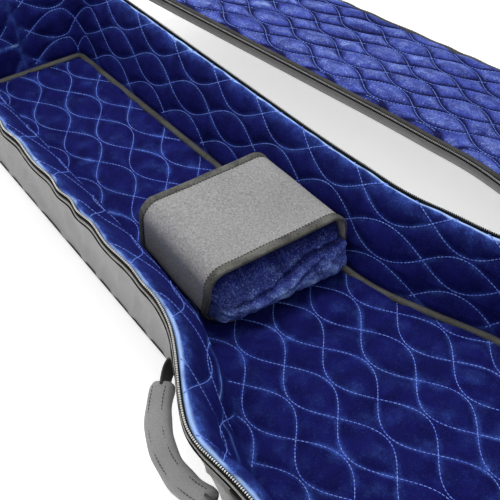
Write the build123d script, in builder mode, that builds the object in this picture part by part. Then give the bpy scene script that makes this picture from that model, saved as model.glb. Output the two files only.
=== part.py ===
"""Padded gig bag for an acoustic guitar, lying open on its back.

Millimetres. X runs along the bag, headstock end at -X and tail end at +X. +Y is the side that
carries the lid hinge, +Z is up. The origin is on the underside of the back, at its centre.
The lid is drawn closed and turned about its hinge line to the open position it is stored in.
"""

import os
from math import atan2, cos, degrees, radians, sin

from build123d import *

# Driving dimensions of the outline, measured at the top of the walls.
HEAD_X, TAIL_X = -665.0, 560.0
HEAD_HALF, TAIL_HALF = 134.6, 244.0
NECK_X, NECK_HALF = 5.0, 150.0
UPPER_X, UPPER_HALF = 141.6, 205.2
HEAD_R, NECK_R, UPPER_R, TAIL_R = 60.0, 200.0, 150.0, 110.0

# Layers and heights.
SKIN = 1.5
BACK_FOAM = 17.0
LINING = 2.5
GAP = 0.1
FLOOR_Z = SKIN + BACK_FOAM + LINING
WALL_TOP = 120.0
ZIP_Z = 126.0
OUTER_BOTTOM_INSET = 21.0
INNER_BOTTOM_INSET = 46.0
INNER_TOP_INSET = 12.0
FOAM_TOP = WALL_TOP - 2.0
SEAM_HEIGHT = 3.0
FACING_Z = WALL_TOP - 1.9
PIPING_Z0, PIPING_Z1, PIPING_PROUD = 117.0, 119.4, 0.6
FOAM_CUT_HEAD, FOAM_CUT_NECK, FOAM_CUT_SHOULDER, FOAM_CUT_TAIL = -585.0, -36.0, 165.0, 440.0

# Zip: tape and teeth on the wall and on the lid.
TEETH_INSET, TEETH_WIDTH, TEETH_HEIGHT = 2.6, 4.0, 1.95
TAPE_INSET, TAPE_THICKNESS = 4.0, 1.2

# Lid.
LID_Z = 127.4
LID_FOAM = 15.0
LID_BODY_INSET = 9.6
LID_SKIN_INSET = 8.0
LID_BINDING_WIDTH = 8.0
LID_OPEN_ANGLE = 193.0
HINGE_X0, HINGE_X1 = 236.0, 384.0
HINGE_OFFSET = 13.0
HINGE_END_GAP = 3.0
HINGE_Z = 126.7

# Pillow under the guitar's neck, and the band round it.
PILLOW_X0, PILLOW_X1 = -174.0, -31.0
PILLOW_Y0, PILLOW_Y1 = -78.5, 97.5
PILLOW_Z0, PILLOW_Z1 = 25.2, 96.5
PILLOW_R = 16.0
BAND_X0, BAND_X1 = -178.0, -28.0
BAND_THICKNESS = 2.2
BINDING_WIDTH, BINDING_THICKNESS = 10.0, 1.2
PATCH_LENGTH, PATCH_WIDTH, PATCH_THICKNESS = 110.0, 120.0, 1.4

# Side handle.
HANDLE_XA, HANDLE_XB = 45.0, 205.0
HANDLE_Z = 97.0
HANDLE_SAG = 20.0
WEB_WIDTH, WEB_THICKNESS = 20.0, 2.5
GRIP_REACH, GRIP_END_OUT, GRIP_OUT = 66.0, 21.0, 42.0
GRIP_WIDTH, GRIP_THICKNESS, GRIP_R = 25.0, 18.0, 8.5
LEG_TOP, LEG_FOOT = (68.0, 19.5), (78.0, 10.5)
ANCHOR_XA, ANCHOR_XB = 54.0, 213.0
ANCHOR_LENGTH, ANCHOR_HEIGHT, ANCHOR_R = 34.0, 32.0, 4.0

# Hang loop at the headstock end. It hangs from its hinge height.
LOOP_HINGE_Z, LOOP_DROP = 96.0, 17.0
LOOP_LENGTH, LOOP_HEIGHT, LOOP_R, LOOP_THICKNESS = 96.0, 42.0, 12.0, 4.0
LOOP_HOLE_LENGTH, LOOP_HOLE_HEIGHT, LOOP_HOLE_R = 66.0, 20.0, 6.0
LOOP_PATCH_Z, LOOP_PATCH_LENGTH, LOOP_PATCH_HEIGHT, LOOP_PATCH_R = 106.0, 100.0, 16.0, 3.0

# Main sliders and their pulls. The pin is placed from the outline and from the floor.
SLIDER_HEAD_X, SLIDER_TAIL_X = 226.0, 394.0
PIN_Y, PIN_Z = 4.8, 124.0
PIN_R, PIN_CLEARANCE = 0.8, 0.1
SLIDER_LENGTH, SLIDER_WIDTH, SLIDER_PLATE, SLIDER_PLATE_Z = 12.0, 12.0, 0.7, 126.65
CHEEK_THICKNESS, CHEEK_HEIGHT, CHEEK_Z = 2.2, 5.4, 123.7
CHEEK_OUT, CHEEK_IN = 1.6, -8.2
LUG_REACH, LUG_SIZE, LUG_BACK = 4.6, (1.6, 3.6, 3.4), 0.4
PIN_LENGTH, PULL_EYE_WALL, PULL_EYE_LENGTH = 9.0, 0.9, 5.0
PULL_NECK, PULL_NECK_DROP = (5.0, 1.6, 14.8), 9.0
PULL_TAB, PULL_TAB_DROP = (9.0, 1.6, 22.0), 27.0

# Pocket on the lid, with heights on the closed lid; its zip is placed from the hinge side.
POCKET_Z = LID_Z + LINING + LID_FOAM + SKIN + 3 * GAP
POCKET_X0, POCKET_INSET, POCKET_DEPTH = 150.0, 62.0, 6.0
POCKET_ZIP_X, POCKET_ZIP_Y, POCKET_ZIP_LENGTH = 300.0, -48.0, 280.0
POCKET_SLIDER = -120.0
POCKET_PIN_RISE = 5.8
POCKET_TAPE_WIDTH, POCKET_TAPE_THICKNESS, POCKET_TAPE_RISE = 20.0, 1.2, 0.7
POCKET_TEETH_WIDTH, POCKET_TEETH_HEIGHT, POCKET_TEETH_RISE = 4.0, 1.4, 2.1
POCKET_TEETH_SHORT, POCKET_TEETH_TOP = 10.0, 2.8
POCKET_PLATE, POCKET_PLATE_RISE = (11.0, 9.0, 1.0), 0.8
POCKET_CHEEK, POCKET_CHEEK_OUT = (11.0, 2.0, 2.0), 3.5
POCKET_LUG, POCKET_LUG_OUT, POCKET_LUG_RISE = (3.4, 1.4, 3.0), 3.2, 2.6
POCKET_PIN_LENGTH, POCKET_EYE_WALL, POCKET_EYE_LENGTH = 6.0, 0.8, 3.6
POCKET_NECK, POCKET_NECK_RISE = (1.6, 3.6, 21.0), 12.0
POCKET_TAB, POCKET_TAB_RISE = (2.4, 8.0, 14.0), 25.0

SIDE_ANGLE = degrees(atan2(TAIL_HALF - UPPER_HALF, TAIL_X - UPPER_X))
WALL_LEAN = degrees(atan2(OUTER_BOTTOM_INSET, ZIP_Z))

os.makedirs("parts", exist_ok=True)


def save(built, label):
    """Label a finished piece and write it to its own STEP file."""
    built.part.label = label
    export_step(built.part, f"parts/{label}.step")


def side_half(x):
    """Half width of the outline on its straight sides and shoulders."""
    if x < UPPER_X:
        return NECK_HALF + (x - NECK_X) * (UPPER_HALF - NECK_HALF) / (UPPER_X - NECK_X)
    return UPPER_HALF + (x - UPPER_X) * (TAIL_HALF - UPPER_HALF) / (TAIL_X - UPPER_X)


def outer_inset(z):
    """How far the outside of the wall stands in from the outline at a height."""
    return OUTER_BOTTOM_INSET * (1 - z / ZIP_Z)


def inner_inset(z):
    """How far the lining's face stands in from the outline at a height."""
    share = (z - FLOOR_Z) / (WALL_TOP - FLOOR_Z)
    return INNER_BOTTOM_INSET + (INNER_TOP_INSET - INNER_BOTTOM_INSET) * share


def outline(inset, z):
    """The bag's plan, moved in by an inset and lifted to a height."""
    half = [
        (HEAD_X, HEAD_HALF),
        (NECK_X, NECK_HALF),
        (UPPER_X, UPPER_HALF),
        (TAIL_X, TAIL_HALF),
    ]
    corners = half + [(x, -y) for x, y in reversed(half)]
    radii = [HEAD_R, NECK_R, UPPER_R, TAIL_R]
    with BuildSketch(Plane.XY.offset(z)) as plan:
        with BuildLine():
            FilletPolyline(*corners, radius=radii + radii[::-1], close=True)
        make_face()
        if inset:
            offset(amount=-inset)
    return plan.sketch


def plate(inset, z0, z1):
    """Add a plate of the bag's plan to the part being built."""
    extrude(outline(inset, z0), amount=z1 - z0)


def ring(z0, z1, outer0, inner0, outer1, inner1):
    """Add a ring that follows the outline, with its own insets at the bottom and the top."""
    loft(sections=[outline(outer0, z0), outline(outer1, z1)], ruled=True)
    loft(sections=[outline(inner0, z0), outline(inner1, z1)], ruled=True, mode=Mode.SUBTRACT)


def band_ring(z0, z1, outer, inner):
    """Add a ring with upright sides."""
    plate(outer, z0, z1)
    extrude(outline(inner, z0), amount=z1 - z0, mode=Mode.SUBTRACT)


def keep_box(x0, x1, y0, y1, z0, z1):
    """Keep only what lies inside a box."""
    with Locations(((x0 + x1) / 2, (y0 + y1) / 2, (z0 + z1) / 2)):
        Box(x1 - x0, y1 - y0, z1 - z0, mode=Mode.INTERSECT)


def cut_hinge_gap():
    """Open the zip where the fabric hinge runs."""
    with Locations(((HINGE_X0 + HINGE_X1) / 2, UPPER_HALF, ZIP_Z)):
        Box(HINGE_X1 - HINGE_X0, 2 * INNER_BOTTOM_INSET, 2 * ZIP_Z, mode=Mode.SUBTRACT)


def side_plane(x):
    """Plane on the hinge side: local X along the side, local Y outwards, Z up, on the outline."""
    along = (cos(radians(SIDE_ANGLE)), sin(radians(SIDE_ANGLE)), 0)
    return Plane(origin=(x, side_half(x), 0), x_dir=along, z_dir=(0, 0, 1))


# ---------------------------------------------------------------- tray
def make_back():
    """Back panel, its foam and its velvet lining, one on the other."""
    with BuildPart() as panel:
        plate(OUTER_BOTTOM_INSET, 0, SKIN)
    save(panel, "back_outer_panel")

    with BuildPart() as foam:
        plate(OUTER_BOTTOM_INSET + SKIN, SKIN, SKIN + BACK_FOAM)
    save(foam, "back_foam")

    with BuildPart() as lining:
        plate(inner_inset(SKIN + BACK_FOAM) + GAP, SKIN + BACK_FOAM, FLOOR_Z)
    save(lining, "back_lining")

    with BuildPart() as binding:
        outer = INNER_BOTTOM_INSET + 2 * GAP
        band_ring(FLOOR_Z + GAP, FLOOR_Z + SEAM_HEIGHT, outer, outer + BINDING_WIDTH)
    save(binding, "floor_seam_binding")


def make_walls():
    """Outer gusset, velvet wall lining, and the foam strips between them."""
    with BuildPart() as gusset:
        low, high = outer_inset(SKIN), outer_inset(WALL_TOP)
        ring(SKIN, WALL_TOP, low, low + SKIN, high, high + SKIN)
    save(gusset, "side_outer_gusset")

    with BuildPart() as lining:
        low, high = INNER_BOTTOM_INSET, INNER_TOP_INSET
        ring(FLOOR_Z, WALL_TOP, low - LINING, low, high - LINING, high)
    save(lining, "side_lining")

    z0, z1 = SKIN + BACK_FOAM, FOAM_TOP
    far = TAIL_HALF + GAP
    strips = {
        "side_foam_head": (HEAD_X, FOAM_CUT_HEAD, -far, far),
        "side_foam_neck_near": (FOAM_CUT_HEAD, FOAM_CUT_NECK, -far, 0.0),
        "side_foam_neck_far": (FOAM_CUT_HEAD, FOAM_CUT_NECK, 0.0, far),
        "side_foam_shoulder_near": (FOAM_CUT_NECK, FOAM_CUT_SHOULDER, -far, 0.0),
        "side_foam_shoulder_far": (FOAM_CUT_NECK, FOAM_CUT_SHOULDER, 0.0, far),
        "side_foam_body_near": (FOAM_CUT_SHOULDER, FOAM_CUT_TAIL, -far, 0.0),
        "side_foam_body_far": (FOAM_CUT_SHOULDER, FOAM_CUT_TAIL, 0.0, far),
        "side_foam_tail": (FOAM_CUT_TAIL, TAIL_X, -far, far),
    }
    for label, (x0, x1, y0, y1) in strips.items():
        with BuildPart() as foam:
            ring(
                z0,
                z1,
                outer_inset(z0) + SKIN + GAP,
                inner_inset(z0) - LINING - GAP,
                outer_inset(z1) + SKIN + GAP,
                inner_inset(z1) - LINING - GAP,
            )
            keep_box(x0, x1, y0, y1, z0, z1)
        save(foam, label)


def make_rim():
    """Piping, facing, zip tape and teeth along the top of the walls."""
    with BuildPart() as piping:
        band_ring(PIPING_Z0, PIPING_Z1, -PIPING_PROUD, outer_inset(PIPING_Z1) - GAP)
    save(piping, "wall_piping")

    with BuildPart() as facing:
        outer = outer_inset(FACING_Z) + SKIN + GAP
        band_ring(FACING_Z, WALL_TOP - GAP, outer, INNER_TOP_INSET - LINING - GAP)
    save(facing, "zip_facing")

    with BuildPart() as tape:
        band_ring(WALL_TOP, ZIP_Z - TEETH_HEIGHT - GAP, TAPE_INSET, TAPE_INSET + TAPE_THICKNESS)
        cut_hinge_gap()
    save(tape, "zip_tape_base")

    with BuildPart() as teeth:
        band_ring(ZIP_Z - TEETH_HEIGHT, ZIP_Z, TEETH_INSET, TEETH_INSET + TEETH_WIDTH)
        cut_hinge_gap()
    save(teeth, "zip_teeth_base")

    length = HINGE_X1 - HINGE_X0 - 2 * HINGE_END_GAP
    width = TAPE_INSET + HINGE_OFFSET - 2 * GAP
    with BuildPart(side_plane((HINGE_X0 + HINGE_X1) / 2)) as strip:
        with Locations((0, HINGE_OFFSET - 2 * GAP - width / 2, WALL_TOP + SKIN / 2)):
            Box(length, width, SKIN)
    save(strip, "hinge_strip_base")


# ---------------------------------------------------------------- neck pillow
def pillow_loop(grow, x0, x1):
    """Extrude the pillow's cross-section, grown evenly, from one X to another."""
    plane = Plane(origin=(x0, 0, 0), x_dir=(0, 1, 0), z_dir=(1, 0, 0))
    middle = ((PILLOW_Y0 + PILLOW_Y1) / 2, (PILLOW_Z0 + PILLOW_Z1) / 2)
    with BuildSketch(plane) as section:
        with Locations(middle):
            RectangleRounded(
                PILLOW_Y1 - PILLOW_Y0 + 2 * grow,
                PILLOW_Z1 - PILLOW_Z0 + 2 * grow,
                PILLOW_R + grow,
            )
    return extrude(section.sketch, amount=x1 - x0, mode=Mode.PRIVATE)


def make_pillow():
    """Neck pillow, the fabric band round it, the band's edge bindings and its floor patch."""
    with BuildPart() as pillow:
        add(pillow_loop(0, PILLOW_X0, PILLOW_X1))
    save(pillow, "neck_pillow")

    outside = 2 * GAP + BAND_THICKNESS
    with BuildPart() as band:
        add(pillow_loop(outside, BAND_X0, BAND_X1))
        add(pillow_loop(2 * GAP, BAND_X0, BAND_X1), mode=Mode.SUBTRACT)
    save(band, "neck_band")

    starts = {"band_binding_head": BAND_X0, "band_binding_body": BAND_X1 - BINDING_WIDTH}
    for label, x0 in starts.items():
        with BuildPart() as binding:
            add(pillow_loop(outside + GAP + BINDING_THICKNESS, x0, x0 + BINDING_WIDTH))
            add(pillow_loop(outside + GAP, x0, x0 + BINDING_WIDTH), mode=Mode.SUBTRACT)
        save(binding, label)

    with BuildPart() as patch:
        middle = ((BAND_X0 + BAND_X1) / 2, (PILLOW_Y0 + PILLOW_Y1) / 2)
        with Locations((*middle, FLOOR_Z + GAP + PATCH_THICKNESS / 2)):
            Box(PATCH_LENGTH, PATCH_WIDTH, PATCH_THICKNESS)
    save(patch, "pillow_floor_patch")


# ---------------------------------------------------------------- handles
def near_wall_plane(x, slope, z):
    """Plane lying on the outside of the near wall: local X along it, local Z out of it."""
    lean = radians(WALL_LEAN)
    turn = radians(slope)
    out = (-sin(turn) * cos(lean), -cos(turn) * cos(lean), -sin(lean))
    inset = outer_inset(z) / cos(turn)
    point = (x, -(side_half(x) - inset), z)
    return Plane(origin=point, x_dir=(cos(turn), -sin(turn), 0), z_dir=out)


def handle_plane():
    """Plane of the side handle: local X along it, local Y outwards and sagging, through its hinge."""
    ya = side_half(HANDLE_XA)
    yb = side_half(HANDLE_XB)
    turn = atan2(yb - ya, HANDLE_XB - HANDLE_XA)
    sag = radians(HANDLE_SAG)
    along = Vector(cos(turn), -sin(turn), 0)
    out = Vector(-sin(turn) * cos(sag), -cos(turn) * cos(sag), -sin(sag))
    middle = ((HANDLE_XA + HANDLE_XB) / 2, -(ya + yb) / 2, HANDLE_Z)
    return Plane(origin=middle, x_dir=along, z_dir=along.cross(out))


def make_side_handle():
    """Arched padded grip on two webbing legs, and the patches that the legs are sewn to."""
    plane = handle_plane()
    with BuildPart() as grip:
        with BuildLine(plane) as arch:
            ThreePointArc((-GRIP_REACH, GRIP_END_OUT), (0, GRIP_OUT), (GRIP_REACH, GRIP_END_OUT))
        with BuildSketch(Plane(origin=arch.line @ 0, x_dir=plane.z_dir, z_dir=arch.line % 0)):
            RectangleRounded(GRIP_THICKNESS, GRIP_WIDTH, GRIP_R)
        sweep(path=arch.line)
    save(grip, "side_handle_grip")

    with BuildPart() as legs:
        for side in (-1, 1):
            run = (Vector(side * LEG_TOP[0], LEG_TOP[1]), Vector(side * LEG_FOOT[0], LEG_FOOT[1]))
            along = (run[1] - run[0]).normalized()
            across = Vector(-along.Y, along.X) * (WEB_THICKNESS / 2)
            corners = [run[0] + across, run[1] + across, run[1] - across, run[0] - across]
            with BuildSketch(plane):
                with BuildLine():
                    Polyline(*[(p.X, p.Y) for p in corners], close=True)
                make_face()
            extrude(amount=WEB_WIDTH / 2, both=True)
    save(legs, "side_handle_webbing")

    shoulder_slope = degrees(atan2(UPPER_HALF - NECK_HALF, UPPER_X - NECK_X))
    with BuildPart() as anchors:
        for x, slope in ((ANCHOR_XA, shoulder_slope), (ANCHOR_XB, SIDE_ANGLE)):
            with BuildSketch(near_wall_plane(x, slope, HANDLE_Z).offset(2 * GAP)):
                RectangleRounded(ANCHOR_LENGTH, ANCHOR_HEIGHT, ANCHOR_R)
            extrude(amount=SKIN)
    save(anchors, "side_handle_anchors")


def make_hang_loop():
    """Webbing hang loop at the headstock end, hanging against the end wall, and its patch."""
    plane = Plane(origin=(HEAD_X, 0, LOOP_HINGE_Z), x_dir=(0, 1, 0), z_dir=(-1, 0, 0))
    with BuildPart() as loop:
        with BuildSketch(plane):
            with Locations((0, LOOP_DROP)):
                RectangleRounded(LOOP_LENGTH, LOOP_HEIGHT, LOOP_R)
                RectangleRounded(LOOP_HOLE_LENGTH, LOOP_HOLE_HEIGHT, LOOP_HOLE_R, mode=Mode.SUBTRACT)
        extrude(amount=LOOP_THICKNESS)
    save(loop, "hang_loop")

    lean = radians(WALL_LEAN)
    face = Plane(
        origin=(HEAD_X + outer_inset(LOOP_PATCH_Z), 0, LOOP_PATCH_Z),
        x_dir=(0, 1, 0),
        z_dir=(-cos(lean), 0, -sin(lean)),
    )
    with BuildPart() as patch:
        with BuildSketch(face.offset(2 * GAP)):
            RectangleRounded(LOOP_PATCH_LENGTH, LOOP_PATCH_HEIGHT, LOOP_PATCH_R)
        extrude(amount=SKIN)
    save(patch, "hang_loop_patch")


# ---------------------------------------------------------------- zip sliders
def make_slider(x, prefix):
    """Slider that straddles the teeth at the top of the wall, and its hanging pull."""
    plane = side_plane(x)
    with BuildPart(plane) as slider:
        with Locations((0, (CHEEK_OUT + CHEEK_IN) / 2, SLIDER_PLATE_Z)):
            Box(SLIDER_LENGTH, SLIDER_WIDTH, SLIDER_PLATE)
        with Locations((0, CHEEK_OUT, CHEEK_Z), (0, CHEEK_IN, CHEEK_Z)):
            Box(SLIDER_LENGTH, CHEEK_THICKNESS, CHEEK_HEIGHT)
        lug_y = PIN_Y - LUG_BACK
        with Locations((-LUG_REACH, lug_y, PIN_Z), (LUG_REACH, lug_y, PIN_Z)):
            Box(*LUG_SIZE)
        with Locations((0, PIN_Y, PIN_Z)):
            Cylinder(PIN_R, PIN_LENGTH, rotation=(0, 90, 0))
    save(slider, f"{prefix}_slider")

    with BuildPart(plane) as pull:
        with Locations((0, PIN_Y, PIN_Z)):
            eye = PIN_R + PIN_CLEARANCE
            Cylinder(eye + PULL_EYE_WALL, PULL_EYE_LENGTH, rotation=(0, 90, 0))
            Cylinder(eye, PULL_EYE_LENGTH, rotation=(0, 90, 0), mode=Mode.SUBTRACT)
        with Locations((0, PIN_Y, PIN_Z - PULL_NECK_DROP)):
            Box(*PULL_NECK)
        with Locations((0, PIN_Y, PIN_Z - PULL_TAB_DROP)):
            Box(*PULL_TAB)
    save(pull, f"{prefix}_pull")


# ---------------------------------------------------------------- lid
def hinge_axis():
    """The line that the lid turns about, along the hinge side."""
    plane = side_plane((HINGE_X0 + HINGE_X1) / 2)
    point = plane.origin + plane.y_dir * HINGE_OFFSET + Vector(0, 0, HINGE_Z)
    return Axis(point, plane.x_dir)


def save_open(closed, label):
    """Turn a piece drawn on the closed lid to the open position, and save it."""
    with BuildPart() as opened:
        add(closed.part.rotate(hinge_axis(), -LID_OPEN_ANGLE))
    save(opened, label)


def make_lid():
    """Padded lid: velvet lining, foam, outer cover, edge binding and its half of the zip."""
    lining_inset = LID_BODY_INSET + LID_BINDING_WIDTH
    foam_z = LID_Z + LINING + GAP
    cover_z = foam_z + LID_FOAM + GAP
    with BuildPart() as lining:
        plate(lining_inset + GAP, LID_Z, LID_Z + LINING)
    save_open(lining, "lid_lining")

    with BuildPart() as foam:
        plate(LID_BODY_INSET, foam_z, foam_z + LID_FOAM)
    save_open(foam, "lid_foam")

    with BuildPart() as cover:
        plate(LID_SKIN_INSET, foam_z, cover_z + SKIN)
        extrude(outline(LID_BODY_INSET - GAP, foam_z), amount=cover_z - foam_z, mode=Mode.SUBTRACT)
    save_open(cover, "lid_outer_cover")

    with BuildPart() as binding:
        band_ring(LID_Z + 2 * GAP, LID_Z + LINING, LID_BODY_INSET, lining_inset)
    save_open(binding, "lid_binding")

    tape_outer = TEETH_INSET + TEETH_WIDTH + GAP
    with BuildPart() as tape:
        tape_z = LID_Z + 3 * GAP
        band_ring(tape_z, tape_z + TAPE_THICKNESS, tape_outer, LID_BODY_INSET - GAP)
        cut_hinge_gap()
    save_open(tape, "zip_tape_lid")

    with BuildPart() as teeth:
        band_ring(LID_Z, LID_Z + TEETH_HEIGHT, TEETH_INSET, TEETH_INSET + TEETH_WIDTH)
        cut_hinge_gap()
    save_open(teeth, "zip_teeth_lid")

    length = HINGE_X1 - HINGE_X0 - 2 * HINGE_END_GAP
    width = LID_SKIN_INSET + HINGE_OFFSET - 3 * GAP
    with BuildPart(side_plane((HINGE_X0 + HINGE_X1) / 2)) as strip:
        with Locations((0, HINGE_OFFSET - GAP - width / 2, LID_Z + SKIN / 2)):
            Box(length, width, SKIN)
    save_open(strip, "hinge_strip_lid")


def make_pocket():
    """Flat accessory pocket on the outside of the lid, with its own zip, slider and pull."""
    base_z = POCKET_Z
    with BuildPart() as panel:
        plate(POCKET_INSET, base_z, base_z + POCKET_DEPTH)
        keep_box(POCKET_X0, TAIL_X, -TAIL_HALF, TAIL_HALF, base_z, base_z + POCKET_DEPTH)
    save_open(panel, "pocket_panel")

    zip_y, slider_x = POCKET_ZIP_Y, POCKET_SLIDER
    plane = side_plane(POCKET_ZIP_X)
    with BuildPart(plane) as tape:
        with Locations((0, zip_y, base_z + POCKET_TAPE_RISE)):
            Box(POCKET_ZIP_LENGTH, POCKET_TAPE_WIDTH, POCKET_TAPE_THICKNESS)
    save_open(tape, "pocket_zip_tape")

    with BuildPart(plane) as teeth:
        with Locations((0, zip_y, base_z + POCKET_TEETH_RISE)):
            Box(POCKET_ZIP_LENGTH - POCKET_TEETH_SHORT, POCKET_TEETH_WIDTH, POCKET_TEETH_HEIGHT)
    save_open(teeth, "pocket_zip_teeth")

    top = base_z + POCKET_TEETH_TOP
    pin_z = base_z + POCKET_PIN_RISE
    with BuildPart(plane) as slider:
        with Locations((slider_x, zip_y, top + POCKET_PLATE_RISE)):
            Box(*POCKET_PLATE)
        cheek, lug, lug_z = POCKET_CHEEK_OUT, POCKET_LUG_OUT, top + POCKET_LUG_RISE
        with Locations((slider_x, zip_y - cheek, top), (slider_x, zip_y + cheek, top)):
            Box(*POCKET_CHEEK)
        with Locations((slider_x, zip_y - lug, lug_z), (slider_x, zip_y + lug, lug_z)):
            Box(*POCKET_LUG)
        with Locations((slider_x, zip_y, pin_z)):
            Cylinder(PIN_R, POCKET_PIN_LENGTH, rotation=(90, 0, 0))
    save_open(slider, "pocket_slider")

    # The pull hangs plumb when the lid lies open, so it leans back by the lid's drop.
    with BuildPart(plane) as pull:
        with Locations((slider_x, zip_y, pin_z)):
            eye = PIN_R + PIN_CLEARANCE
            Cylinder(eye + POCKET_EYE_WALL, POCKET_EYE_LENGTH, rotation=(90, 0, 0))
            Cylinder(eye, POCKET_EYE_LENGTH, rotation=(90, 0, 0), mode=Mode.SUBTRACT)
        with Locations((slider_x, zip_y, pin_z + POCKET_NECK_RISE)):
            Box(*POCKET_NECK)
        with Locations((slider_x, zip_y, pin_z + POCKET_TAB_RISE)):
            Box(*POCKET_TAB)
    save_open(pull, "pocket_pull")


def print_frame():
    """Print the places of the joints."""
    axis = hinge_axis()
    plane = handle_plane()
    print("lid hinge", axis.position, axis.direction)
    print("side handle hinge", plane.origin, plane.x_dir)
    for name, x in (("head", SLIDER_HEAD_X), ("tail", SLIDER_TAIL_X)):
        spot = side_plane(x)
        print(name, "slider pin", spot.origin + spot.y_dir * PIN_Y + Vector(0, 0, PIN_Z))
    turned = Axis((0, 0, 0), axis.direction)
    spot = side_plane(POCKET_ZIP_X)
    pin = spot.origin + spot.x_dir * POCKET_SLIDER + spot.y_dir * POCKET_ZIP_Y
    pin = pin + Vector(0, 0, POCKET_Z + POCKET_PIN_RISE)
    opened = axis.position + (pin - axis.position).rotate(turned, -LID_OPEN_ANGLE)
    print("pocket pin", opened, spot.y_dir.rotate(turned, -LID_OPEN_ANGLE))


make_back()
make_walls()
make_rim()
make_pillow()
make_side_handle()
make_hang_loop()
make_slider(SLIDER_HEAD_X, "head")
make_slider(SLIDER_TAIL_X, "tail")
make_lid()
make_pocket()
print_frame()
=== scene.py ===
"""Looks of the padded gig bag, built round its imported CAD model.

Lengths here are in millimetres, in the CAD model's frame, and new meshes are scaled to metres.
Tray pieces follow the bag's outline, inset by inset. Lid pieces are drawn closed and turned open.
"""

import math

import bmesh
import bpy
import numpy as np
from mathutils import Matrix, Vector, kdtree


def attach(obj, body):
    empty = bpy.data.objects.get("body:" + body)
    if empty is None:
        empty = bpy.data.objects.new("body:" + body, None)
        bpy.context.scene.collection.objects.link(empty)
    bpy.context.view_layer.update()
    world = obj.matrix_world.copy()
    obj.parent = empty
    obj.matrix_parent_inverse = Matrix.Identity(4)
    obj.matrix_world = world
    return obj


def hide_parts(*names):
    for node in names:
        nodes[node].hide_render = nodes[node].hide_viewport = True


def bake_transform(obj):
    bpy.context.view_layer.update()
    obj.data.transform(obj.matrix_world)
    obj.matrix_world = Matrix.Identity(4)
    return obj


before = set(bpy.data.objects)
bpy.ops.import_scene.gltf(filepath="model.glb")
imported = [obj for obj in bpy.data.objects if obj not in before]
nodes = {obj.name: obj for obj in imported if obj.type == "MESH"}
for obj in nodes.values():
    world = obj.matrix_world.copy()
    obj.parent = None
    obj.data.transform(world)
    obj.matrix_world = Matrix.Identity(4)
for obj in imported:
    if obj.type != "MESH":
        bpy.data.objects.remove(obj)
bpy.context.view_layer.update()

MM = 0.001

# The outline's far corners at the top of the walls (X, Y, radius), from the head to the tail.
HEAD_X, TAIL_X = -665.0, 560.0
FAR_CORNERS = ((HEAD_X, 134.6, 60.0), (5.0, 150.0, 200.0), (141.6, 205.2, 150.0), (TAIL_X, 244.0, 110.0))
SIDE_SLOPE = math.atan2(244.0 - 205.2, 560.0 - 141.6)
ZIP_TOP, FOOT_INSET = 126.0, 21.0
HINGE_X0, HINGE_X1, HINGE_HALF = 236.0, 384.0, 71
HINGE_MIDDLE = (HINGE_X0 + HINGE_X1) / 2
HINGE_OUT, HINGE_Z, HINGE_BLEND, LID_ANGLE = 13.0, 126.7, 5, 193.0
TOOTH_PITCH, TOOTH_HALF_WIDTH, TOOTH_HALF_HEIGHT = 2.6, 0.62, 1.0
FINE, COARSE = 2.9, 4.0  # spacing of the points of velvet, and of plain cloth and tape


# --- numbers
def smooth(t):
    """Ease from 0 to 1 while t goes from 0 to 1."""
    t = np.clip(t, 0, 1)
    return t * t * (3 - 2 * t)


def bell(x, middle, width):
    """Smooth bump, 1 at its middle."""
    return np.exp(-(((x - middle) / width) ** 2))


def wobble(points, size, seed, waves=7):
    """Smooth noise, about -1 to 1, with features of a given size in mm."""
    rand = np.random.default_rng(seed)
    total = np.zeros(points.shape[:-1])
    for _ in range(waves):
        direction = rand.normal(size=3)
        direction *= 2 * np.pi / (np.linalg.norm(direction) * size * rand.uniform(0.7, 1.4))
        total += np.sin(points @ direction + rand.uniform(0, 2 * np.pi))
    return total / math.sqrt(waves)


def unit(v):
    """Vectors scaled to length 1."""
    return v / np.maximum(np.linalg.norm(v, axis=-1, keepdims=True), 1e-9)


def on_floor(x, y):
    """Points at X and Y with no height."""
    return np.stack([x, y, 0 * x], -1)


def distances(points):
    """Distance of each point along its line."""
    return np.concatenate([[0], np.cumsum(np.linalg.norm(np.diff(points, axis=0), axis=1))])


def between(at, run, rows):
    """Rows interpolated at distances along a run."""
    return np.stack([np.interp(at, run, column) for column in rows.T], -1)


def rounded(points, times):
    """Line with its corners cut a number of times."""
    for _ in range(times):
        cut = [points[0]]
        for a, b in zip(points[:-1], points[1:]):
            cut += [a * 0.75 + b * 0.25, a * 0.25 + b * 0.75]
        points = np.array(cut + [points[-1]])
    return points


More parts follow.
